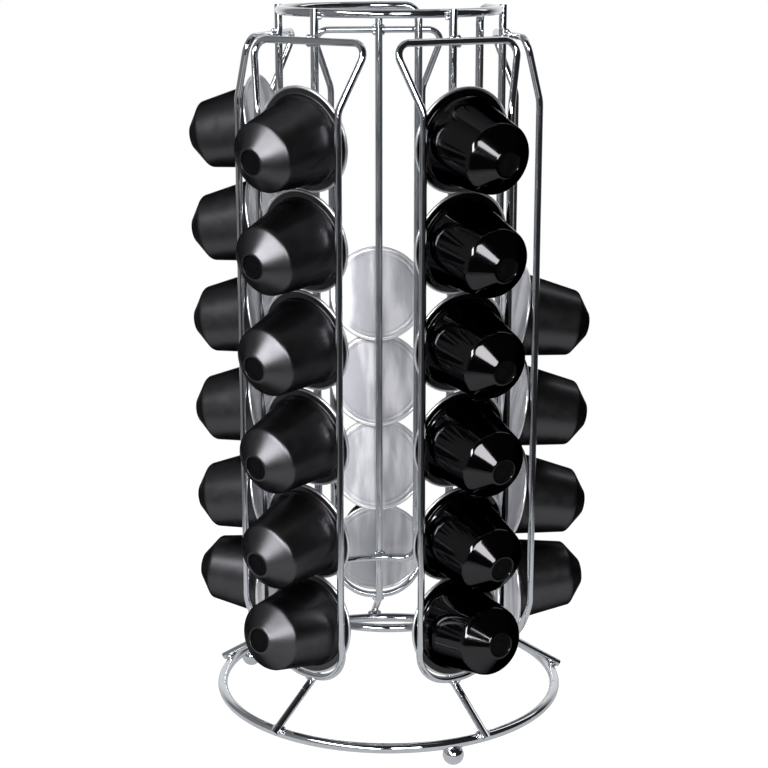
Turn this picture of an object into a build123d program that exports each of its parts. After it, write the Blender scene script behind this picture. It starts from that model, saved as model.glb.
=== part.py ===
from build123d import *
import math
import os

# Coffee capsule holder: a chrome wire tower with five upright tracks round an open middle.
# Millimetres, +Z up. The origin is on the table, on the axis of the rings.
# Bearings are degrees round +Z from the front, which is -Y, towards +X. The opening faces +Y.

# Wire diameters
core_wire = 3.0
upright_wire = 2.8
guide_wire = 2.5
base_wire = 3.6
# How far two crossing wires are pressed into each other at a weld
weld_sink = 0.3

# Ball feet
foot_diameter = 7.5
foot_flat_depth = 0.3
foot_sink = 1.4
foot_bearings = (58.5, 180, -82.5)

# Core frame: hoop, lower ring and the two legs beside the opening
hoop_radius = 38.3
hoop_height = 257.5
lower_ring_height = 42.5
core_bend = 5.0
opening_gap = 27.5

# Base ring and the spokes that the uprights end in
base_ring_radius = 63.0
spoke_overhang = 2.4
upright_bend = 6.0

# Guide loops
slot_depth = 6.8
guide_bottom_height = 24.0
guide_bottom_inset = 4.0
bar_drop = 9.0
flare_height = 22.0
bar_width = 50.0
flare_bend = 8.0
corner_bend = 4.5
tuck_bend = 10.0
# Radius of the round bottom, as a share of half the gap between the legs
bottom_bend_share = 0.92

# Columns: degrees between neighbours, each one's steps from the front, and its number of capsules
column_turn = 68.7
column_steps = {"front": 0, "right": 1, "left": -1, "back_right": 2, "back_left": -2}
capsule_counts = {"front": 6, "right": 6, "left": 6, "back_right": 4, "back_left": 4}

# Capsule: cup, rolled rim and foil lid
body_root_radius = 15.6
body_collar = 1.6
shoulder_radius = 12.1
shoulder_depth = 22.0
shoulder_fillet = 0.8
tip_radius = 4.8
tip_depth = 27.7
tip_recess_radius = 4.1
tip_recess_depth = 0.9
flange_width = 2.9
flange_thickness = 0.5
rim_thickness = 1.1
cup_wall = 0.5
lid_thickness = 0.2
lid_margin = 0.25

# How the capsules sit: clearances, and the lowest one's upward tilt in degrees
side_clearance = 0.6
seat_clearance = 0.55
nest_clearance = 0.4
lowest_tilt = 3.5
lowest_lift = 0.5
lowest_stand_off = 1.7

# Heights and radii that follow
base_ring_height = (foot_diameter - foot_flat_depth) + base_wire / 2 - foot_sink
hoop_top = hoop_height + core_wire / 2
upright_radius = hoop_radius + (core_wire + upright_wire) / 2 - weld_sink
upright_face = upright_radius + upright_wire / 2
guide_radius = upright_face + slot_depth + guide_wire / 2
guide_bottom_radius = guide_radius - guide_bottom_inset
guide_weld_offset = (upright_wire + guide_wire) / 2 - weld_sink
base_weld_offset = (upright_wire + base_wire) / 2 - weld_sink
bar_radius = upright_radius + guide_weld_offset
bar_height = hoop_height - bar_drop
flare_start = bar_height - flare_height
leg_half_gap = body_root_radius + side_clearance + guide_wire / 2
tuck_height = guide_bottom_height + leg_half_gap

# Slope of a spoke: it passes under the guide loop's bottom and over the base ring
spoke_run = base_ring_radius - guide_bottom_radius
spoke_drop = guide_bottom_height - base_ring_height
spoke_turn = math.asin((guide_weld_offset + base_weld_offset) / math.hypot(spoke_run, spoke_drop))
spoke_slope = math.atan2(spoke_drop, spoke_run) - spoke_turn
spoke_corner_run = guide_bottom_radius - guide_weld_offset * math.sin(spoke_slope) - upright_radius
spoke_corner_height = (
    guide_bottom_height
    - guide_weld_offset * math.cos(spoke_slope)
    + spoke_corner_run * math.tan(spoke_slope)
)
spoke_end_radius = base_ring_radius + base_weld_offset * math.sin(spoke_slope) + spoke_overhang
spoke_end_height = spoke_corner_height - (spoke_end_radius - upright_radius) * math.tan(spoke_slope)

# How far a capsule droops before its rim is held by the two legs and the upright
flange_radius = body_root_radius + flange_width
rim_reach = flange_radius + math.sqrt(flange_radius**2 - leg_half_gap**2)
droop_sine = (slot_depth - rim_thickness - 2 * seat_clearance) / rim_reach
droop = math.degrees(math.asin(droop_sine))
droop_cosine = math.cos(math.asin(droop_sine))

# Heights and radii of the rims: the lowest one stands in the round bottom of its loop,
# off the upright, and each one above rests its body on the rim below it
body_taper = (body_root_radius - shoulder_radius) / (shoulder_depth - body_collar)
nest_reach = flange_radius + body_root_radius + nest_clearance
nest_reach += body_taper * (rim_thickness / 2 + body_collar)
nest_pitch = nest_reach / (droop_cosine + body_taper * droop_sine)
seat_radius = upright_face + seat_clearance + rim_thickness / 2
lowest_sine = math.sin(math.radians(lowest_tilt))
lowest_cosine = math.cos(math.radians(lowest_tilt))
lowest_height = (
    guide_bottom_height + guide_wire / 2 + lowest_lift + flange_radius * lowest_cosine
)
body_drop = body_root_radius * droop_cosine + body_collar * droop_sine
second_height = lowest_height + flange_radius * lowest_cosine + nest_clearance + body_drop


def around(bearing, radius, height):
    """Point at a bearing, a radius and a height."""
    angle = math.radians(bearing)
    return Vector(radius * math.sin(angle), -radius * math.cos(angle), height)


def along(bearing):
    """Level direction round the axis at a bearing."""
    angle = math.radians(bearing)
    return Vector(math.cos(angle), math.sin(angle), 0)


def bent_wire(edges, diameter):
    """Round wire along straight and arc edges that follow each other."""
    runs = []
    for edge in edges:
        section = Plane(edge @ 0, z_dir=edge % 0) * Circle(diameter / 2)
        runs.append(sweep(section, path=edge))
    return runs[0].fuse(*runs[1:]).solid()


def turned_end(bearing, height, way, rise):
    """Quarter bend from the end of a level ring into an upright leg, up or down."""
    start = around(bearing, hoop_radius, height)
    forward = along(bearing) * (way * core_bend)
    upward = Vector(0, 0, rise * core_bend)
    half = math.sqrt(2) / 2
    middle = start + forward * half + upward * (1 - half)
    return ThreePointArc(start, middle, start + forward + upward).edge()


def core_frame():
    """One wire: hoop, lower ring and the two legs beside the opening."""
    reach = math.hypot(hoop_radius, core_bend)
    leg_turn = math.degrees(math.asin(opening_gap / 2 / reach))
    bend_turn = math.degrees(math.atan(core_bend / hoop_radius))
    end = 180 - leg_turn - bend_turn
    edges = []
    for height in (hoop_height, lower_ring_height):
        ring_points = [around(bearing, hoop_radius, height) for bearing in (-end, 0, end)]
        edges.append(ThreePointArc(*ring_points).edge())
    for way in (-1, 1):
        top_bend = turned_end(way * end, hoop_height, way, -1)
        low_bend = turned_end(way * end, lower_ring_height, way, 1)
        edges += [top_bend, Line(top_bend @ 1, low_bend @ 1).edge(), low_bend]
    return bent_wire(edges, core_wire)


def base_ring():
    """Closed ring of thicker wire."""
    return Pos(0, 0, base_ring_height) * Torus(base_ring_radius, base_wire / 2)


def foot(ring, bearing):
    """Ball under the base ring, with a saddle for the ring and a small flat to stand on."""
    centre = around(bearing, base_ring_radius, foot_diameter / 2 - foot_flat_depth)
    ball = Pos(*centre) * Sphere(foot_diameter / 2)
    ball = split(ball, bisect_by=Plane.XY, keep=Keep.TOP)
    return (ball - ring).solid()


def upright():
    """Front column's straight wire, whose lower end bends out into a spoke."""
    points = [
        (0, -upright_radius, hoop_top),
        (0, -upright_radius, spoke_corner_height),
        (0, -spoke_end_radius, spoke_end_height),
    ]
    return bent_wire(FilletPolyline(*points, radius=upright_bend).edges(), upright_wire)


def guide_loop():
    """Front column's closed loop: round bottom, two legs, flared mouth and top bar."""
    half_bar = bar_width / 2
    side = [
        (leg_half_gap, -guide_bottom_radius, guide_bottom_height),
        (leg_half_gap, -guide_radius, tuck_height),
        (leg_half_gap, -guide_radius, flare_start),
        (half_bar, -bar_radius, bar_height),
    ]
    other_side = [(-x, y, z) for x, y, z in reversed(side)]
    bends = [bottom_bend_share * leg_half_gap, tuck_bend, flare_bend, corner_bend]
    path = rounded_loop(side + other_side, bends + bends[::-1])
    return bent_wire(path, guide_wire)


def rounded_loop(points, radii):
    """Edges of a closed loop through points, each corner rounded by its own radius."""
    corners = [Vector(*point) for point in points]
    count = len(corners)
    starts, arcs, ends = [], [], []
    for place in range(count):
        corner = corners[place]
        back = (corners[place - 1] - corner).normalized()
        ahead = (corners[(place + 1) % count] - corner).normalized()
        opening = math.radians(back.get_angle(ahead))
        reach = radii[place] / math.tan(opening / 2)
        centre_way = (back + ahead).normalized()
        middle_reach = radii[place] / math.sin(opening / 2) - radii[place]
        starts.append(corner + back * reach)
        ends.append(corner + ahead * reach)
        arcs.append(ThreePointArc(starts[-1], corner + centre_way * middle_reach, ends[-1]).edge())
    edges = []
    for place in range(count):
        edges.append(arcs[place])
        edges.append(Line(ends[place], starts[(place + 1) % count]).edge())
    return edges


def cup():
    """Drawn cup with a rolled rim, lying on its rim's middle plane with the tip up."""
    plate = flange_thickness / 2
    rim_centre = flange_radius - rim_thickness / 2
    recess_floor = tip_depth - tip_recess_depth
    outline = [
        (rim_centre, -plate),
        (body_root_radius - cup_wall, -plate),
        (body_root_radius - cup_wall, body_collar),
        (shoulder_radius - cup_wall, shoulder_depth),
        (tip_recess_radius, recess_floor - cup_wall),
        (0, recess_floor - cup_wall),
        (0, recess_floor),
        (tip_recess_radius, recess_floor),
        (tip_recess_radius, tip_depth),
        (tip_radius, tip_depth),
        (shoulder_radius, shoulder_depth),
        (body_root_radius, body_collar),
        (body_root_radius, plate),
        (rim_centre, plate),
    ]
    section = make_face(Polyline(*outline, close=True))
    shell = revolve(Plane.XZ * section, Axis.Z)
    shoulder = [
        edge
        for edge in shell.edges().filter_by(GeomType.CIRCLE)
        if abs(edge.radius - shoulder_radius) < cup_wall / 2
    ]
    shell = fillet(shoulder, shoulder_fillet)
    return (shell + Torus(rim_centre, rim_thickness / 2)).solid()


def lid():
    """Foil disc sealed on the back of the cup's flange, inside the rolled rim."""
    radius = flange_radius - rim_thickness - lid_margin
    middle = -(flange_thickness + lid_thickness) / 2
    return Pos(0, 0, middle) * Cylinder(radius, lid_thickness)


def capsule_seats(count):
    """Places of a front column's capsules, from the lowest up."""
    lowest_radius = seat_radius + lowest_stand_off + flange_radius * lowest_sine
    seats = [Pos(0, -lowest_radius, lowest_height) * Rot(90 - lowest_tilt, 0, 0)]
    radius = seat_radius + flange_radius * droop_sine
    for place in range(count - 1):
        height = second_height + place * nest_pitch
        seats.append(Pos(0, -radius, height) * Rot(90 + droop, 0, 0))
    return seats


def build():
    """Every node's solids, in the part's own frame."""
    core = core_frame()
    ring = base_ring()
    plain_upright = upright()
    seated_upright = (plain_upright - core - ring).solid()
    seated_guide = (guide_loop() - plain_upright).solid()
    nodes = {"core_frame": [core], "base_ring": [ring]}
    for number, bearing in enumerate(foot_bearings, start=1):
        nodes[f"foot_{number}"] = [foot(ring, bearing)]
    capsule = [cup(), lid()]
    for name, steps in column_steps.items():
        turn = Rot(0, 0, steps * column_turn)
        nodes[f"upright_{name}"] = [turn * seated_upright]
        nodes[f"guide_{name}"] = [turn * seated_guide]
        for number, seat in enumerate(capsule_seats(capsule_counts[name]), start=1):
            nodes[f"capsule_{name}_{number}"] = [turn * seat * piece for piece in capsule]
    return nodes


os.makedirs("parts", exist_ok=True)
for node, solids in build().items():
    export_step(Compound(children=list(solids)), f"parts/{node}.step")
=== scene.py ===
import logging
import math
from dataclasses import dataclass, field
from enum import Enum, IntEnum

import bpy
from mathutils import Matrix, Vector


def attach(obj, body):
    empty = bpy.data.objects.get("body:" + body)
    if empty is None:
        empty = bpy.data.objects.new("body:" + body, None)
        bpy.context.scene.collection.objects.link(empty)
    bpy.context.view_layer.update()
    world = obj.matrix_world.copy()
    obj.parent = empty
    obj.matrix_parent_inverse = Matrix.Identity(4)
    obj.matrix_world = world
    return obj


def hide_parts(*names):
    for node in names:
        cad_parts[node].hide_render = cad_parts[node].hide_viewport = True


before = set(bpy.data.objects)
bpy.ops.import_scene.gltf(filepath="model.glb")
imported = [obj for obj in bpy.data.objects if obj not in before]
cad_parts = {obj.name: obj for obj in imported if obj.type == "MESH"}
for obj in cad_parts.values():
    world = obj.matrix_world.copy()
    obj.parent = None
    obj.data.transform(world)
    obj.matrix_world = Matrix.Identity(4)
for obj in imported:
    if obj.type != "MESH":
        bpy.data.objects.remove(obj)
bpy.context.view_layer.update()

LOG = logging.getLogger("capsule_tower")
MM = 0.001
RACK_BODY = "rack"
WHITE = "#FFFFFF"
# Degrees from one column to the next, and where the columns and the feet stand
COLUMN_TURN = 68.7
COLUMN_BEARINGS = tuple(steps * COLUMN_TURN for steps in (0, 1, -1, 2, -2))
FOOT_BEARINGS = (58.5, 180, -82.5)
# Most of a noise texture's values lie between these two
NOISE_LOW = 0.3
NOISE_HIGH = 0.7
# Sockets of a node that mixes two colours
MIX_SHARE = 0
MIX_FIRST = 6
MIX_SECOND = 7
MIX_RESULT = 2
# How closely a ring of a turned piece is found again, in millimetres
RING_TOLERANCE = 0.02
BEVEL_SEGMENTS = 5
Socket = bpy.types.NodeSocket


class Sheen(Enum):
    """How the lacquer of a capsule is cured."""

    SATIN = "satin"
    GLOSS = "gloss"


class Zone(IntEnum):
    """Material slot of each zone of a cup."""

    BODY = 0
    BARE = 1
    DIMPLE_PAINTED_SHADE = 2


def linear(hex_colour: str) -> tuple[float, float, float, float]:
    """Turn an sRGB hex colour into linear RGBA.

    Args:
        hex_colour: six hex digits after a hash sign.

    Returns:
        Linear red, green, blue and an alpha of one.
    """
    shares = [int(hex_colour[i : i + 2], 16) / 255 for i in (1, 3, 5)]
    red, green, blue = (
        share / 12.92 if share <= 0.04045 else ((share + 0.055) / 1.055) ** 2.4 for share in shares
    )
    return red, green, blue, 1.0


def add_node(
    tree: bpy.types.NodeTree,
    kind: str,
    settings: dict | None = None,
    values: dict | None = None,
    links: dict | None = None,
) -> bpy.types.Node:
    """Add a node with its settings, socket values and incoming links.

    Args:
        tree: node tree that gets the node.
        kind: Blender's name of the node type.
        settings: properties of the node itself.
        values: constant values by input socket.
        links: output sockets by the input socket that they feed.

    Returns:
        The new node.
    """
    node = tree.nodes.new(kind)
    for key, value in (settings or {}).items():
        setattr(node, key, value)
    for key, value in (values or {}).items():
        node.inputs[key].default_value = value
    for key, source in (links or {}).items():
        tree.links.new(source, node.inputs[key])
    return node


def blank_material(name: str) -> tuple[bpy.types.Material, bpy.types.NodeTree, Socket]:
    """Start a material.

    Args:
        name: the material's name.

    Returns:
        The material, its emptied node tree and the Object coordinate in metres.
    """
    material = bpy.data.materials.new(name)
    material.use_nodes = True
    tree = material.node_tree
    tree.nodes.clear()
    place = add_node(tree, "ShaderNodeTexCoord").outputs["Object"]
    return material, tree, place


def per_metre(size_mm: float) -> float:
    """Texture scale that makes one noise cell about this many millimetres."""
    return 1 / (size_mm * MM)


@dataclass(frozen=True)
class BrightChrome:
    """Bright chrome plating on drawn steel wire.

    Plating follows the wire closely, so it mirrors the room with a faint
    waviness and a slight polishing haze.
    """

    name: str = "bright_chrome_plated_steel"
    colour: str = "#D6D9DD"
    shade: str = "#BFC3C9"
    roughness: float = 0.05
    haze: float = 0.13
    haze_from: float = 0.35
    haze_full: float = 0.8
    haze_mm: float = 5.0
    ripple_mm: float = 2.2
    ripple_height_mm: float = 0.006

    def build(self) -> bpy.types.Material:
        """Build the material.

        Returns:
            The finished material.
        """
        material, tree, place = blank_material(self.name)
        cloud = add_node(
            tree,
            "ShaderNodeTexNoise",
            values={"Scale": per_metre(self.haze_mm), "Detail": 3.0},
            links={"Vector": place},
        )
        tint = add_node(
            tree,
            "ShaderNodeMix",
            {"data_type": "RGBA"},
            {MIX_FIRST: linear(self.colour), MIX_SECOND: linear(self.shade)},
            {MIX_SHARE: cloud.outputs["Fac"]},
        )
        dull = add_node(
            tree,
            "ShaderNodeMapRange",
            values={
                "From Min": self.haze_from,
                "From Max": self.haze_full,
                "To Min": self.roughness,
                "To Max": self.haze,
            },
            links={"Value": cloud.outputs["Fac"]},
        )
        ripple = add_node(
            tree,
            "ShaderNodeTexNoise",
            values={"Scale": per_metre(self.ripple_mm), "Detail": 1.0},
            links={"Vector": place},
        )
        bump = add_node(
            tree,
            "ShaderNodeBump",
            values={"Strength": 1.0, "Distance": self.ripple_height_mm * MM},
            links={"Height": ripple.outputs["Fac"]},
        )
        shader = add_node(
            tree,
            "ShaderNodeBsdfPrincipled",
            values={"Metallic": 1.0},
            links={
                "Base Color": tint.outputs[MIX_RESULT],
                "Roughness": dull.outputs["Result"],
                "Normal": bump.outputs["Normal"],
            },
        )
        add_node(tree, "ShaderNodeOutputMaterial", links={"Surface": shader.outputs["BSDF"]})
        return material


@dataclass(frozen=True)
class BlackLacquer:
    """Black lacquer roller-coated on drawn aluminium.

    The coat is thin enough for the metal below to carry the highlight, and it
    dulls the edges. A satin coat spreads the highlight into a soft grey wedge
    and a gloss coat keeps it sharp. The near-black of the dimple is painted shade:
    it reflects almost nothing, so the recess in the tip stays dark.
    All carry a very fine orange peel.
    """

    name: str
    roughness: float
    spread: float
    specular: float
    metallic: float = 0.0
    colour: str = "#050506"
    worn: str = "#0C0B0D"
    edge: str = WHITE
    mottle_mm: float = 4.0
    peel_mm: float = 0.45
    peel_height_mm: float = 0.0012

    def build(self) -> bpy.types.Material:
        """Build the material.

        Returns:
            The finished material.
        """
        material, tree, place = blank_material(self.name)
        mottle = add_node(
            tree,
            "ShaderNodeTexNoise",
            values={"Scale": per_metre(self.mottle_mm), "Detail": 4.0},
            links={"Vector": place},
        )
        tint = add_node(
            tree,
            "ShaderNodeMix",
            {"data_type": "RGBA"},
            {MIX_FIRST: linear(self.colour), MIX_SECOND: linear(self.worn)},
            {MIX_SHARE: mottle.outputs["Fac"]},
        )
        dull = add_node(
            tree,
            "ShaderNodeMapRange",
            values={
                "From Min": NOISE_LOW,
                "From Max": NOISE_HIGH,
                "To Min": self.roughness,
                "To Max": self.roughness + self.spread,
            },
            links={"Value": mottle.outputs["Fac"]},
        )
        peel = add_node(
            tree,
            "ShaderNodeTexNoise",
            values={"Scale": per_metre(self.peel_mm), "Detail": 2.0},
            links={"Vector": place},
        )
        bump = add_node(
            tree,
            "ShaderNodeBump",
            values={"Strength": 1.0, "Distance": self.peel_height_mm * MM},
            links={"Height": peel.outputs["Fac"]},
        )
        shader = add_node(
            tree,
            "ShaderNodeBsdfPrincipled",
            values={
                "Metallic": self.metallic,
                "Specular IOR Level": self.specular,
                "Specular Tint": linear(self.edge),
            },
            links={
                "Base Color": tint.outputs[MIX_RESULT],
                "Roughness": dull.outputs["Result"],
                "Normal": bump.outputs["Normal"],
            },
        )
        add_node(tree, "ShaderNodeOutputMaterial", links={"Surface": shader.outputs["BSDF"]})
        return material


@dataclass(frozen=True)
class RolledAluminium:
    """Bare aluminium, rolled to foil or curled to a rim.

    The mill's rollers leave fine lines and broad, slightly wavy bands, which
    bend a reflection. The same bands also paint upright streaks of light and mid
    grey into the colour, a painted reflection. The real lines are finer, and they
    are drawn as coarse as they need to show.
    """

    name: str
    roughness: float
    spread: float
    line_height_mm: float
    band_height_mm: float
    colour: str = "#EFEFF1"
    shade: str = "#CFCFD3"
    line_mm: float = 0.35
    band_mm: float = 8.0
    painted_streak_from: float = 0.38
    painted_streak_full: float = 0.62
    length_mm: float = 60.0

    def streaks(self, tree: bpy.types.NodeTree, place: Socket, width_mm: float) -> Socket:
        """Noise drawn out along the height.

        Args:
            tree: the material's nodes.
            place: Object coordinate.
            width_mm: width of a streak.

        Returns:
            The noise, mostly between its low and its high value.
        """
        across = per_metre(width_mm)
        stretch = add_node(
            tree,
            "ShaderNodeMapping",
            values={"Scale": (across, across, per_metre(self.length_mm))},
            links={"Vector": place},
        )
        noise = add_node(
            tree,
            "ShaderNodeTexNoise",
            values={"Scale": 1.0, "Detail": 3.0},
            links={"Vector": stretch.outputs["Vector"]},
        )
        return noise.outputs["Fac"]

    def build(self) -> bpy.types.Material:
        """Build the material.

        Returns:
            The finished material.
        """
        material, tree, place = blank_material(self.name)
        lines = self.streaks(tree, place, self.line_mm)
        bands = self.streaks(tree, place, self.band_mm)
        # Painted reflection: the broad bands mix the colour towards the shade, painting upright
        # streaks of light and mid grey
        painted_streak_share = add_node(
            tree,
            "ShaderNodeMapRange",
            {"interpolation_type": "SMOOTHSTEP"},
            {"From Min": self.painted_streak_from, "From Max": self.painted_streak_full},
            {"Value": bands},
        )
        tint = add_node(
            tree,
            "ShaderNodeMix",
            {"data_type": "RGBA"},
            {MIX_FIRST: linear(self.colour), MIX_SECOND: linear(self.shade)},
            {MIX_SHARE: painted_streak_share.outputs["Result"]},
        )
        dull = add_node(
            tree,
            "ShaderNodeMapRange",
            values={
                "From Min": NOISE_LOW,
                "From Max": NOISE_HIGH,
                "To Min": self.roughness,
                "To Max": self.roughness + self.spread,
            },
            links={"Value": lines},
        )
        wave = add_node(
            tree,
            "ShaderNodeBump",
            values={"Strength": 1.0, "Distance": self.band_height_mm * MM},
            links={"Height": bands},
        )
        bump = add_node(
            tree,
            "ShaderNodeBump",
            values={"Strength": 1.0, "Distance": self.line_height_mm * MM},
            links={"Height": lines, "Normal": wave.outputs["Normal"]},
        )
        shader = add_node(
            tree,
            "ShaderNodeBsdfPrincipled",
            values={"Metallic": 1.0},
            links={
                "Base Color": tint.outputs[MIX_RESULT],
                "Roughness": dull.outputs["Result"],
                "Normal": bump.outputs["Normal"],
            },
        )
        add_node(tree, "ShaderNodeOutputMaterial", links={"Surface": shader.outputs["BSDF"]})
        return material


def edit(obj: bpy.types.Object) -> None:
    """Select one object alone, all of its mesh, and enter edit mode.

    Args:
        obj: the object to edit.
    """
    bpy.ops.object.select_all(action="DESELECT")
    obj.select_set(True)
    bpy.context.view_layer.objects.active = obj
    bpy.ops.object.mode_set(mode="EDIT")
    bpy.ops.mesh.select_all(action="SELECT")


def turned(name: str, profile: list[tuple[float, float]], segments: int) -> bpy.types.Object:
    """Turn a closed solid about Z by extruding a ring from point to point.

    Args:
        name: the object's name.
        profile: radius and height in millimetres, from one pole round to the other.
        segments: vertices of a ring.

    Returns:
        The solid at the origin.
    """
    bpy.ops.object.select_all(action="DESELECT")
    radius, height = profile[0]
    bpy.ops.mesh.primitive_circle_add(
        vertices=segments, radius=radius * MM, fill_type="NOTHING", location=(0, 0, height * MM)
    )
    obj = bpy.context.object
    obj.name = name
    bpy.ops.object.transform_apply(location=True, rotation=True, scale=True)
    edit(obj)
    for next_radius, next_height in profile[1:]:
        bpy.ops.mesh.extrude_region_move(
            TRANSFORM_OT_translate={"value": (0, 0, (next_height - height) * MM)}
        )
        share = next_radius / radius
        bpy.ops.transform.resize(value=(share, share, 1), center_override=(0, 0, next_height * MM))
        radius, height = next_radius, next_height
    bpy.ops.mesh.select_all(action="SELECT")
    bpy.ops.mesh.fill_holes(sides=0)
    bpy.ops.mesh.select_all(action="SELECT")
    bpy.ops.mesh.normals_make_consistent(inside=False)
    bpy.ops.object.mode_set(mode="OBJECT")
    return obj


def part_way(
    start: tuple[float, float], end: tuple[float, float], reach: float
) -> tuple[float, float]:
    """Point at a distance from one profile point towards another.

    Args:
        start: radius and height where the line starts.
        end: radius and height that the line runs to.
        reach: distance from the start.

    Returns:
        Radius and height of the point.
    """
    share = reach / math.dist(start, end)
    return start[0] + (end[0] - start[0]) * share, start[1] + (end[1] - start[1]) * share


def bevel_ring(obj: bpy.types.Object, radius: float, height: float, width: float) -> None:
    """Round the ring of edges at a radius and a height.

    Args:
        obj: turned solid.
        radius: the ring's radius in millimetres.
        height: the ring's height in millimetres.
        width: bevel width in millimetres.
    """
    edit(obj)
    bpy.ops.mesh.select_all(action="DESELECT")
    bpy.ops.mesh.select_mode(type="EDGE")
    bpy.ops.object.mode_set(mode="OBJECT")
    tolerance = RING_TOLERANCE * MM
    for edge in obj.data.edges:
        ends = [obj.data.vertices[i].co for i in edge.vertices]
        edge.select = all(
            abs(end.z - height * MM) < tolerance and abs(end.xy.length - radius * MM) < tolerance
            for end in ends
        )
    bpy.ops.object.mode_set(mode="EDIT")
    bpy.ops.mesh.bevel(
        offset=width * MM, offset_type="WIDTH", segments=BEVEL_SEGMENTS, affect="EDGES"
    )
    bpy.ops.mesh.select_mode(type="VERT")
    bpy.ops.object.mode_set(mode="OBJECT")


def smooth(obj: bpy.types.Object, degrees: float) -> None:
    """Shade smooth across edges flatter than an angle.

    Args:
        obj: the object to shade.
        degrees: the angle.
    """
    bpy.ops.object.select_all(action="DESELECT")
    obj.select_set(True)
    bpy.context.view_layer.objects.active = obj
    bpy.ops.object.shade_smooth_by_angle(angle=math.radians(degrees))


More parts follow.
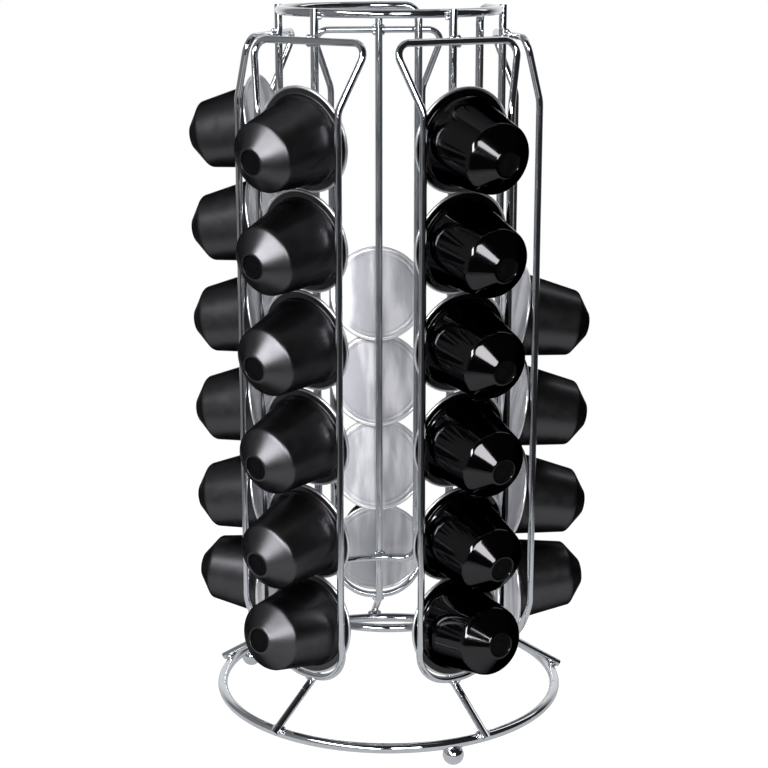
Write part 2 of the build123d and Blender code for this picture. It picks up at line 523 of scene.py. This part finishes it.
@dataclass
class Capsule:
    """One coffee capsule with its axis on Z, its rim at zero and its tip up.

    Sizes are millimetres and angles degrees. Beside a crease, a ring of points at
    the distance called hold keeps the shading of a straight wall straight.
    """

    root_radius: float = 15.6
    root_round: float = 0.3
    root_inner_round: float = 0.1
    collar_height: float = 1.75
    collar_round: float = 0.2
    collar_cut: float = 0.08
    neck_rise: float = 0.25
    step: float = 0.3
    shoulder_radius: float = 12.1
    shoulder_height: float = 22.0
    shoulder_bevel: float = 1.3
    hold: float = 1.4
    tip_hold: float = 0.35
    tip_radius: float = 4.8
    tip_height: float = 27.7
    tip_cut: float = 0.1
    recess_radius: float = 4.1
    recess_depth: float = 0.9
    recess_round: float = 0.15
    recess_lip: float = 0.12
    boss_radius: float = 1.6
    boss_height: float = 0.3
    boss_round: float = 0.3
    boss_drop: float = 0.08
    boss_draft: float = 0.1
    flange_half: float = 0.25
    flange_back_share: float = 0.9
    rim_radius: float = 17.95
    rim_half: float = 0.55
    rim_steps: int = 16
    wall: float = 0.5
    lid_radius: float = 17.15
    lid_thickness: float = 0.2
    lid_crown: float = 0.3
    lid_cut: float = 0.1
    lid_hem: float = 0.02
    lid_rings: int = 18
    seal_radius: float = 15.3
    seal_groove: tuple[float, float, float] = (0.25, 0.55, 0.8)
    seal_depth: float = 0.06
    crumple_width: float = 7.0
    crumple_height: float = 0.05
    cup_crease: float = 40.0
    lid_crease: float = 50.0
    segments: int = 96

    def cup(self, finishes: list[bpy.types.Material]) -> bpy.types.Object:
        """Model the drawn cup with its rolled rim.

        Args:
            finishes: materials in the order of the zones: lacquer for the body, bare metal
                for the rim and the back, and painted shade for the dimple in the tip, a
                near-black that reflects almost nothing.

        Returns:
            The cup.
        """
        floor = self.tip_height - self.recess_depth
        curl = math.asin(self.flange_half / self.rim_half)
        sweep = 2 * (math.pi - curl)
        turns = [sweep * step / self.rim_steps for step in range(self.rim_steps + 1)]
        angles = [math.pi - curl - turn for turn in turns]
        rim = [
            (
                self.rim_radius + self.rim_half * math.cos(angle),
                self.rim_half * math.sin(angle),
            )
            for angle in angles
        ]
        tip = (self.tip_radius + self.tip_cut, self.tip_height - self.tip_cut)
        shoulder = (self.shoulder_radius, self.shoulder_height)
        neck = (self.root_radius - self.step, self.collar_height + self.neck_rise)
        profile = [
            (self.boss_radius - self.boss_round, floor + self.boss_height),
            (self.boss_radius, floor + self.boss_height - self.boss_drop),
            (self.boss_radius + self.boss_draft, floor),
            (self.recess_radius - self.recess_round, floor),
            (self.recess_radius, floor + self.recess_round),
            (self.recess_radius, self.tip_height - self.recess_round),
            (self.recess_radius + self.recess_lip, self.tip_height),
            (self.tip_radius - self.recess_lip, self.tip_height),
            tip,
            part_way(tip, shoulder, self.tip_hold),
            part_way(shoulder, tip, self.hold),
            shoulder,
            part_way(shoulder, neck, self.hold),
            part_way(neck, shoulder, self.hold),
            neck,
            (self.root_radius - self.collar_cut, self.collar_height),
            (self.root_radius, self.collar_height - self.collar_round),
            (self.root_radius, self.flange_half + self.root_round),
            (self.root_radius + self.root_inner_round, self.flange_half + self.root_inner_round),
            (self.root_radius + self.root_round, self.flange_half),
        ]
        profile += rim
        profile += [
            (self.root_radius - self.wall, -self.flange_half),
            (self.root_radius - self.wall, self.collar_height),
            (self.shoulder_radius - self.wall, self.shoulder_height),
            (self.recess_radius, floor - self.wall),
        ]
        cup = turned("cup", profile, self.segments)
        bevel_ring(cup, self.shoulder_radius, self.shoulder_height, self.shoulder_bevel)
        for finish in finishes:
            cup.data.materials.append(finish)
        bare_radius = (self.rim_radius - self.rim_half * math.cos(curl)) * MM
        for face in cup.data.polygons:
            outward = face.center.xy.length
            back = face.center.z < -self.flange_half * self.flange_back_share * MM
            raised = face.center.z > self.shoulder_height * MM
            zone = Zone.BODY
            if outward > bare_radius or back:
                zone = Zone.BARE
            # Painted shade: faces inside the recess of the tip get a near-black that reflects almost
            # nothing
            elif raised and outward < self.recess_radius * MM:
                zone = Zone.DIMPLE_PAINTED_SHADE
            face.material_index = zone.value
        smooth(cup, self.cup_crease)
        return cup

    def lid(self, finish: bpy.types.Material) -> bpy.types.Object:
        """Model the foil lid, crowned inside its seal and faintly crumpled.

        Args:
            finish: bare foil.

        Returns:
            The lid.
        """
        front = -self.flange_half
        back = front - self.lid_thickness
        sunk = back + self.seal_depth
        groove_start, groove_end, groove_out = self.seal_groove
        profile = []
        for ring in range(1, self.lid_rings + 1):
            share = ring / self.lid_rings
            crown = self.lid_crown * (1 - share**2)
            profile.append((self.seal_radius * share, back - crown))
        profile += [
            (self.seal_radius + groove_start, sunk),
            (self.seal_radius + groove_end, sunk),
            (self.seal_radius + groove_out, back),
            (self.lid_radius - self.lid_cut, back),
            (self.lid_radius, sunk),
            (self.lid_radius, front - self.lid_hem),
            (self.lid_radius - self.lid_cut, front),
            (self.seal_radius, front),
            (self.seal_radius / 2, front),
        ]
        lid = turned("lid", profile, self.segments)
        texture = bpy.data.textures.new("foil_crumple", type="CLOUDS")
        texture.noise_scale = self.crumple_width * MM
        texture.noise_depth = 1
        crumple = lid.modifiers.new("crumple", "DISPLACE")
        crumple.texture = texture
        crumple.texture_coords = "LOCAL"
        crumple.direction = "Z"
        crumple.mid_level = 0.5
        crumple.strength = self.crumple_height * MM
        bpy.context.view_layer.objects.active = lid
        bpy.ops.object.modifier_apply(modifier=crumple.name)
        lid.data.materials.append(finish)
        smooth(lid, self.lid_crease)
        return lid


@dataclass
class Column:
    """One upright track and the capsules in it. Millimetres and degrees."""

    name: str
    bearing: float
    count: int
    sheen: Sheen
    seat_radius: float = 43.4
    flange_radius: float = 18.5
    lowest_height: float = 44.2155
    lowest_tilt: float = -3.5
    lowest_stand_off: float = 1.7
    second_height: float = 78.7055
    pitch: float = 34.3722
    droop: float = 10.7579
    twist: float = 137.5

    def seat(self, place: int) -> Matrix:
        """Where a capsule sits.

        Args:
            place: zero for the lowest capsule.

        Returns:
            The capsule's matrix in metres.
        """
        tilt = self.droop if place else self.lowest_tilt
        height = self.second_height + (place - 1) * self.pitch if place else self.lowest_height
        radius = self.seat_radius + self.flange_radius * abs(math.sin(math.radians(tilt)))
        radius += 0 if place else self.lowest_stand_off
        turn = Matrix.Rotation(math.radians(self.bearing), 4, "Z")
        move = Matrix.Translation(Vector((0, -radius, height)) * MM)
        return turn @ move @ Matrix.Rotation(math.radians(90 + tilt), 4, "X")

    def fill(self, cups: dict[Sheen, bpy.types.Object], lid: bpy.types.Object) -> None:
        """Put a cup and a lid at each place of the track.

        Args:
            cups: the modelled cup for each sheen.
            lid: the modelled lid.
        """
        for place in range(self.count):
            label = f"{self.name}_{place + 1}"
            body = f"capsule_{label}"
            spin = Matrix.Rotation(math.radians(self.twist * (place + 1) + self.bearing), 4, "Z")
            for kind, model in (("cup", cups[self.sheen]), ("lid", lid)):
                piece = model.copy()
                piece.data = model.data.copy()
                piece.name = f"{kind}_{label}"
                bpy.context.scene.collection.objects.link(piece)
                piece.data.transform(self.seat(place) @ spin)
                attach(piece, body)
                if kind == "cup":
                    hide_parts(body)
                LOG.info("piece %s rides on %s", piece.name, body)


@dataclass
class Rack:
    """The welded wire rack, which keeps its exact solids and gets its plating."""

    nodes: list[str] = field(
        default_factory=lambda: [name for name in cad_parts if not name.startswith("capsule_")]
    )

    def plate(self, finish: bpy.types.Material) -> None:
        """Plate every wire and foot.

        Args:
            finish: chrome.
        """
        for name in self.nodes:
            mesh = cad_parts[name].data
            mesh.materials.clear()
            mesh.materials.append(finish)
            LOG.info("plated %s", name)


@dataclass(frozen=True)
class Weld:
    """One kind of weld, with lumps aside of it and above and below it. Millimetres and degrees."""

    name: str
    bearings: tuple[float, ...]
    radius: float
    height: float
    aside: float
    above: float
    half_sizes: tuple[float, float, float]

    def seats(self) -> list[Matrix]:
        """Find where the lumps go.

        Returns:
            The place and the size of each lump, in metres.
        """
        seats = []
        for side in (-self.aside, self.aside):
            for bearing in self.bearings:
                for rise in sorted({-self.above, self.above}):
                    turn = Matrix.Rotation(math.radians(bearing), 4, "Z")
                    place = Vector((side, -self.radius, self.height + rise)) * MM
                    grow = Matrix.Diagonal((*self.half_sizes, 1))
                    seats.append(turn @ Matrix.Translation(place) @ grow)
        return seats


@dataclass
class WeldBeads:
    """Small lumps of metal squeezed out where two wires are welded. Millimetres and degrees."""

    lump_mm: float = 0.9
    lump_height_mm: float = 0.5
    lump_crease: float = 60.0
    tumble_radians: float = 2.4
    tumble_axis: tuple[float, float, float] = (1, 2, 3)
    welds: tuple[Weld, ...] = (
        Weld("hoop", COLUMN_BEARINGS, 39.9, 256.9, 1.5, 0.8, (0.9, 0.8, 0.8)),
        Weld("lower_ring", COLUMN_BEARINGS, 39.9, 42.5, 1.5, 1.1, (0.9, 0.8, 0.9)),
        Weld("bar", COLUMN_BEARINGS, 42.3, 248.5, 1.4, 1.2, (0.85, 0.8, 0.9)),
        Weld("loop_bottom", COLUMN_BEARINGS, 45.8, 23.0, 1.4, 0.5, (0.9, 1.0, 0.8)),
        Weld("spoke_end", COLUMN_BEARINGS, 63.9, 9.0, 1.6, 0.5, (1.1, 1.5, 0.9)),
        Weld("feet", FOOT_BEARINGS, 63.0, 6.1, 2.4, 0.0, (1.2, 1.1, 0.7)),
    )

    def lump(self) -> bpy.types.Object:
        """Model one uneven lump of about a millimetre, to be scaled.

        Returns:
            The lump.
        """
        bpy.ops.object.select_all(action="DESELECT")
        bpy.ops.mesh.primitive_ico_sphere_add(subdivisions=3, radius=MM)
        lump = bpy.context.object
        texture = bpy.data.textures.new("weld_lump", type="CLOUDS")
        texture.noise_scale = self.lump_mm * MM
        swell = lump.modifiers.new("swell", "DISPLACE")
        swell.texture = texture
        swell.texture_coords = "LOCAL"
        swell.mid_level = 0.5
        swell.strength = self.lump_height_mm * MM
        bpy.ops.object.modifier_apply(modifier=swell.name)
        smooth(lump, self.lump_crease)
        return lump

    def dress(self, finish: bpy.types.Material) -> None:
        """Put the lumps at every weld.

        Args:
            finish: plated weld metal.
        """
        lump = self.lump()
        axis = Vector(self.tumble_axis).normalized()
        for weld in self.welds:
            copies = []
            for number, seat in enumerate(weld.seats()):
                copy = lump.copy()
                copy.data = lump.data.copy()
                bpy.context.scene.collection.objects.link(copy)
                tumble = Matrix.Rotation(number * self.tumble_radians, 4, axis)
                copy.data.transform(seat @ tumble)
                copies.append(copy)
            bpy.ops.object.select_all(action="DESELECT")
            for copy in copies:
                copy.select_set(True)
            bpy.context.view_layer.objects.active = copies[0]
            bpy.ops.object.join()
            piece = bpy.context.object
            piece.name = f"weld_beads_{weld.name}"
            piece.data.materials.append(finish)
            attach(piece, RACK_BODY)
            LOG.info("piece %s rides on %s", piece.name, RACK_BODY)
        bpy.data.objects.remove(lump)


@dataclass(frozen=True)
class Lamp:
    """A rectangular softbox that faces the object. Degrees and metres.

    It hangs so many degrees to the right of the camera and above level, with its
    right end raised by the roll. A radiance of one renders as white. A lamp that
    isn't mirrored stays out of shiny surfaces.
    """

    name: str
    turn: float
    rise: float
    distance: float
    width: float
    height: float
    radiance: float
    mirrored: bool = True
    roll: float = 0.0


@dataclass
class Studio:
    """White sweep, soft lamps and the camera at the photograph's place. Metres and degrees.

    The lifts are brightness added to the floor for the camera and for reflections.
    Reflections see the backdrop and the room by how far a direction points towards
    the camera and to its left, as the cosine of the angle.
    """

    bearing: float = 37.5
    distance: float = 0.6491
    side: float = -0.00172
    height: float = 0.2820
    pitch: float = 13.78
    lens: float = 85.41
    sensor: float = 36.0
    floor_radius: float = 0.3
    floor_sides: int = 128
    floor_colour: str = "#808080"
    bright_radius: float = 0.2
    floor_lift: float = 0.95
    mirror_lift: float = 0.5
    backdrop: float = 0.95
    backdrop_full: float = -0.9
    backdrop_edge: float = -0.45
    left_room: float = 0.25
    left_full: float = 0.9
    right_room: float = 0.025
    right_edge: float = 0.1
    middle: tuple[float, float, float] = (0.0, 0.0, 0.13)
    lamps: tuple[Lamp, ...] = (
        Lamp("key_right", 11, 14, 1.1, 0.34, 0.38, 14.0),
        Lamp("key_left", -28.5, 21.5, 1.1, 1.12, 0.15, 30.0, roll=-36),
        Lamp("left", -75, 25, 1.2, 0.3, 0.9, 2.5, mirrored=False),
        Lamp("right", 120, 45, 1.2, 0.2, 0.9, 2.0),
        Lamp("top", 180, 80, 1.2, 1.1, 1.1, 0.35),
    )

    def towards(self, turn: float, rise: float) -> Vector:
        """Direction from the object, turned from the camera's bearing and raised.

        Args:
            turn: degrees to the camera's right.
            rise: degrees above level.

        Returns:
            A unit vector.
        """
        around = math.radians(self.bearing + turn)
        up = math.radians(rise)
        return Vector(
            (math.sin(around) * math.cos(up), -math.cos(around) * math.cos(up), math.sin(up))
        )

    def camera(self) -> None:
        """Set the camera."""
        data = bpy.data.cameras.new("camera")
        data.lens = self.lens
        data.sensor_width = self.sensor
        camera = bpy.data.objects.new("camera", data)
        bpy.context.scene.collection.objects.link(camera)
        right = self.towards(90, 0)
        camera.location = self.towards(0, 0) * self.distance + right * self.side
        camera.location.z = self.height
        camera.rotation_euler = (
            math.radians(90 - self.pitch),
            0,
            math.radians(self.bearing),
        )
        bpy.context.scene.camera = camera

    def hang(self, lamp: Lamp) -> None:
        """Hang a lamp.

        Args:
            lamp: where it hangs, how large and how bright it is.
        """
        data = bpy.data.lights.new(lamp.name, "AREA")
        data.shape = "RECTANGLE"
        data.size, data.size_y = lamp.width, lamp.height
        data.energy = lamp.radiance * math.pi * lamp.width * lamp.height
        softbox = bpy.data.objects.new(lamp.name, data)
        bpy.context.scene.collection.objects.link(softbox)
        aim = self.towards(lamp.turn, lamp.rise)
        softbox.location = Vector(self.middle) + aim * lamp.distance
        tilt = Matrix.Rotation(math.radians(lamp.roll), 3, "Z")
        softbox.rotation_euler = (aim.to_track_quat("Z", "Y").to_matrix() @ tilt).to_euler()
        softbox.visible_camera = False
        softbox.visible_glossy = lamp.mirrored

    def floor(self) -> None:
        """Lay the floor, white to the camera and bright near the object in reflections."""
        bpy.ops.object.select_all(action="DESELECT")
        bpy.ops.mesh.primitive_circle_add(
            vertices=self.floor_sides, radius=self.floor_radius, fill_type="NGON", location=(0, 0, 0)
        )
        floor = bpy.context.object
        floor.name = "floor"
        material, tree, place = blank_material("matt_white_sweep")
        path = add_node(tree, "ShaderNodeLightPath")
        reach = add_node(
            tree,
            "ShaderNodeVectorMath",
            {"operation": "LENGTH"},
            links={0: place},
        )
        bright = add_node(
            tree,
            "ShaderNodeMapRange",
            {"interpolation_type": "SMOOTHSTEP"},
            {
                "From Min": self.bright_radius,
                "From Max": self.floor_radius,
                "To Min": self.mirror_lift,
                "To Max": 0.0,
            },
            {"Value": reach.outputs["Value"]},
        )
        mirrored = add_node(
            tree,
            "ShaderNodeMath",
            {"operation": "MULTIPLY"},
            links={0: path.outputs["Is Glossy Ray"], 1: bright.outputs["Result"]},
        )
        lift = add_node(
            tree,
            "ShaderNodeMath",
            {"operation": "MULTIPLY_ADD"},
            {1: self.floor_lift},
            {0: path.outputs["Is Camera Ray"], 2: mirrored.outputs["Value"]},
        )
        shader = add_node(
            tree,
            "ShaderNodeBsdfPrincipled",
            values={
                "Base Color": linear(self.floor_colour),
                "Roughness": 0.9,
                "Specular IOR Level": 0.0,
                "Emission Color": linear(WHITE),
            },
            links={"Emission Strength": lift.outputs["Value"]},
        )
        add_node(tree, "ShaderNodeOutputMaterial", links={"Surface": shader.outputs["BSDF"]})
        floor.data.materials.append(material)

    def sweep(self) -> None:
        """Set the world: white to the camera and behind the object, and a dim room in front."""
        world = bpy.data.worlds.new("studio")
        bpy.context.scene.world = world
        world.use_nodes = True
        tree = world.node_tree
        tree.nodes.clear()
        way = add_node(tree, "ShaderNodeTexCoord").outputs["Generated"]
        front = add_node(
            tree,
            "ShaderNodeVectorMath",
            {"operation": "DOT_PRODUCT"},
            {1: self.towards(0, 0)},
            {0: way},
        )
        backdrop = add_node(
            tree,
            "ShaderNodeMapRange",
            {"interpolation_type": "SMOOTHSTEP"},
            {
                "From Min": self.backdrop_full,
                "From Max": self.backdrop_edge,
                "To Min": self.backdrop,
                "To Max": 0.0,
            },
            {"Value": front.outputs["Value"]},
        )
        left = add_node(
            tree,
            "ShaderNodeVectorMath",
            {"operation": "DOT_PRODUCT"},
            {1: self.towards(-90, 0)},
            {0: way},
        )
        room = add_node(
            tree,
            "ShaderNodeMapRange",
            {"interpolation_type": "SMOOTHSTEP"},
            {
                "From Min": self.right_edge,
                "From Max": self.left_full,
                "To Min": self.right_room,
                "To Max": self.left_room,
            },
            {"Value": left.outputs["Value"]},
        )
        path = add_node(tree, "ShaderNodeLightPath")
        mirrored = add_node(
            tree,
            "ShaderNodeMath",
            {"operation": "MULTIPLY"},
            links={0: path.outputs["Is Glossy Ray"], 1: backdrop.outputs["Result"]},
        )
        seen = add_node(
            tree,
            "ShaderNodeMath",
            {"operation": "MAXIMUM"},
            links={0: path.outputs["Is Camera Ray"], 1: path.outputs["Is Transmission Ray"]},
        )
        white = add_node(
            tree,
            "ShaderNodeMath",
            {"operation": "MAXIMUM"},
            links={0: mirrored.outputs["Value"], 1: seen.outputs["Value"]},
        )
        level = add_node(
            tree,
            "ShaderNodeMath",
            {"operation": "MAXIMUM"},
            links={0: white.outputs["Value"], 1: room.outputs["Result"]},
        )
        sky = add_node(
            tree,
            "ShaderNodeBackground",
            values={"Color": linear(WHITE)},
            links={"Strength": level.outputs["Value"]},
        )
        add_node(tree, "ShaderNodeOutputWorld", links={"Surface": sky.outputs["Background"]})

    def set_up(self) -> None:
        """Lay the floor, set the world and hang the lamps."""
        self.floor()
        self.sweep()
        for lamp in self.lamps:
            self.hang(lamp)


def lacquers() -> dict[Sheen, bpy.types.Material]:
    """Build the lacquers of the two kinds of capsule.

    Returns:
        A lacquer for each sheen.
    """
    satin = BlackLacquer(
        "satin_black_lacquered_aluminium",
        roughness=0.32,
        spread=0.06,
        specular=0.5,
        metallic=1.0,
        colour="#4A494C",
        worn="#545356",
        edge="#606060",
    )
    gloss = BlackLacquer(
        "gloss_black_lacquered_aluminium",
        roughness=0.07,
        spread=0.03,
        specular=0.5,
        metallic=1.0,
        colour="#373638",
        worn="#3C3B3D",
        edge="#606060",
    )
    return {Sheen.SATIN: satin.build(), Sheen.GLOSS: gloss.build()}


def fill_columns() -> None:
    """Model the cups and the lid once, then fill the five columns with copies."""
    # Both get painted reflection streaks, upright bands of the colour mixed towards the shade: faint
    # on the rim, strong on the foil
    rim = RolledAluminium(
        "bare_aluminium_curled_rim",
        roughness=0.28,
        spread=0.1,
        line_height_mm=0.002,
        band_height_mm=0.01,
        shade="#E0E0E3",
    ).build()
    foil = RolledAluminium(
        "aluminium_lid_foil_with_painted_streaks",
        roughness=0.5,
        spread=0.1,
        line_height_mm=0.003,
        band_height_mm=0.1,
        colour="#EAEAEE",
        shade="#BBBBC2",
    ).build()
    coats = lacquers()
    # Painted shade: a near-black that reflects almost nothing keeps the recess of the tip dark
    dimple = BlackLacquer(
        "dimple_painted_shade_black", roughness=0.55, spread=0.1, specular=0.04
    ).build()
    capsule = Capsule()
    cups = {sheen: capsule.cup([coat, rim, dimple]) for sheen, coat in coats.items()}
    lid = capsule.lid(foil)
    columns = [
        Column("front", 0, 6, Sheen.SATIN),
        Column("right", COLUMN_TURN, 6, Sheen.GLOSS),
        Column("left", -COLUMN_TURN, 6, Sheen.SATIN),
        Column("back_right", 2 * COLUMN_TURN, 4, Sheen.SATIN),
        Column("back_left", -2 * COLUMN_TURN, 4, Sheen.SATIN),
    ]
    for column in columns:
        column.fill(cups, lid)
    for model in [*cups.values(), lid]:
        bpy.data.objects.remove(model)


def main() -> None:
    """Dress the rack, fill its columns and set up the studio."""
    logging.basicConfig(level=logging.INFO)
    bpy.context.scene.view_settings.view_transform = "Standard"
    studio = Studio()
    studio.camera()
    Rack().plate(BrightChrome().build())
    beads = BrightChrome(
        "chrome_plated_weld_bead",
        roughness=0.1,
        haze=0.3,
        haze_mm=1.2,
        ripple_mm=0.7,
        ripple_height_mm=0.03,
    )
    WeldBeads().dress(beads.build())
    fill_columns()
    studio.set_up()


if __name__ == "__main__":
    main()
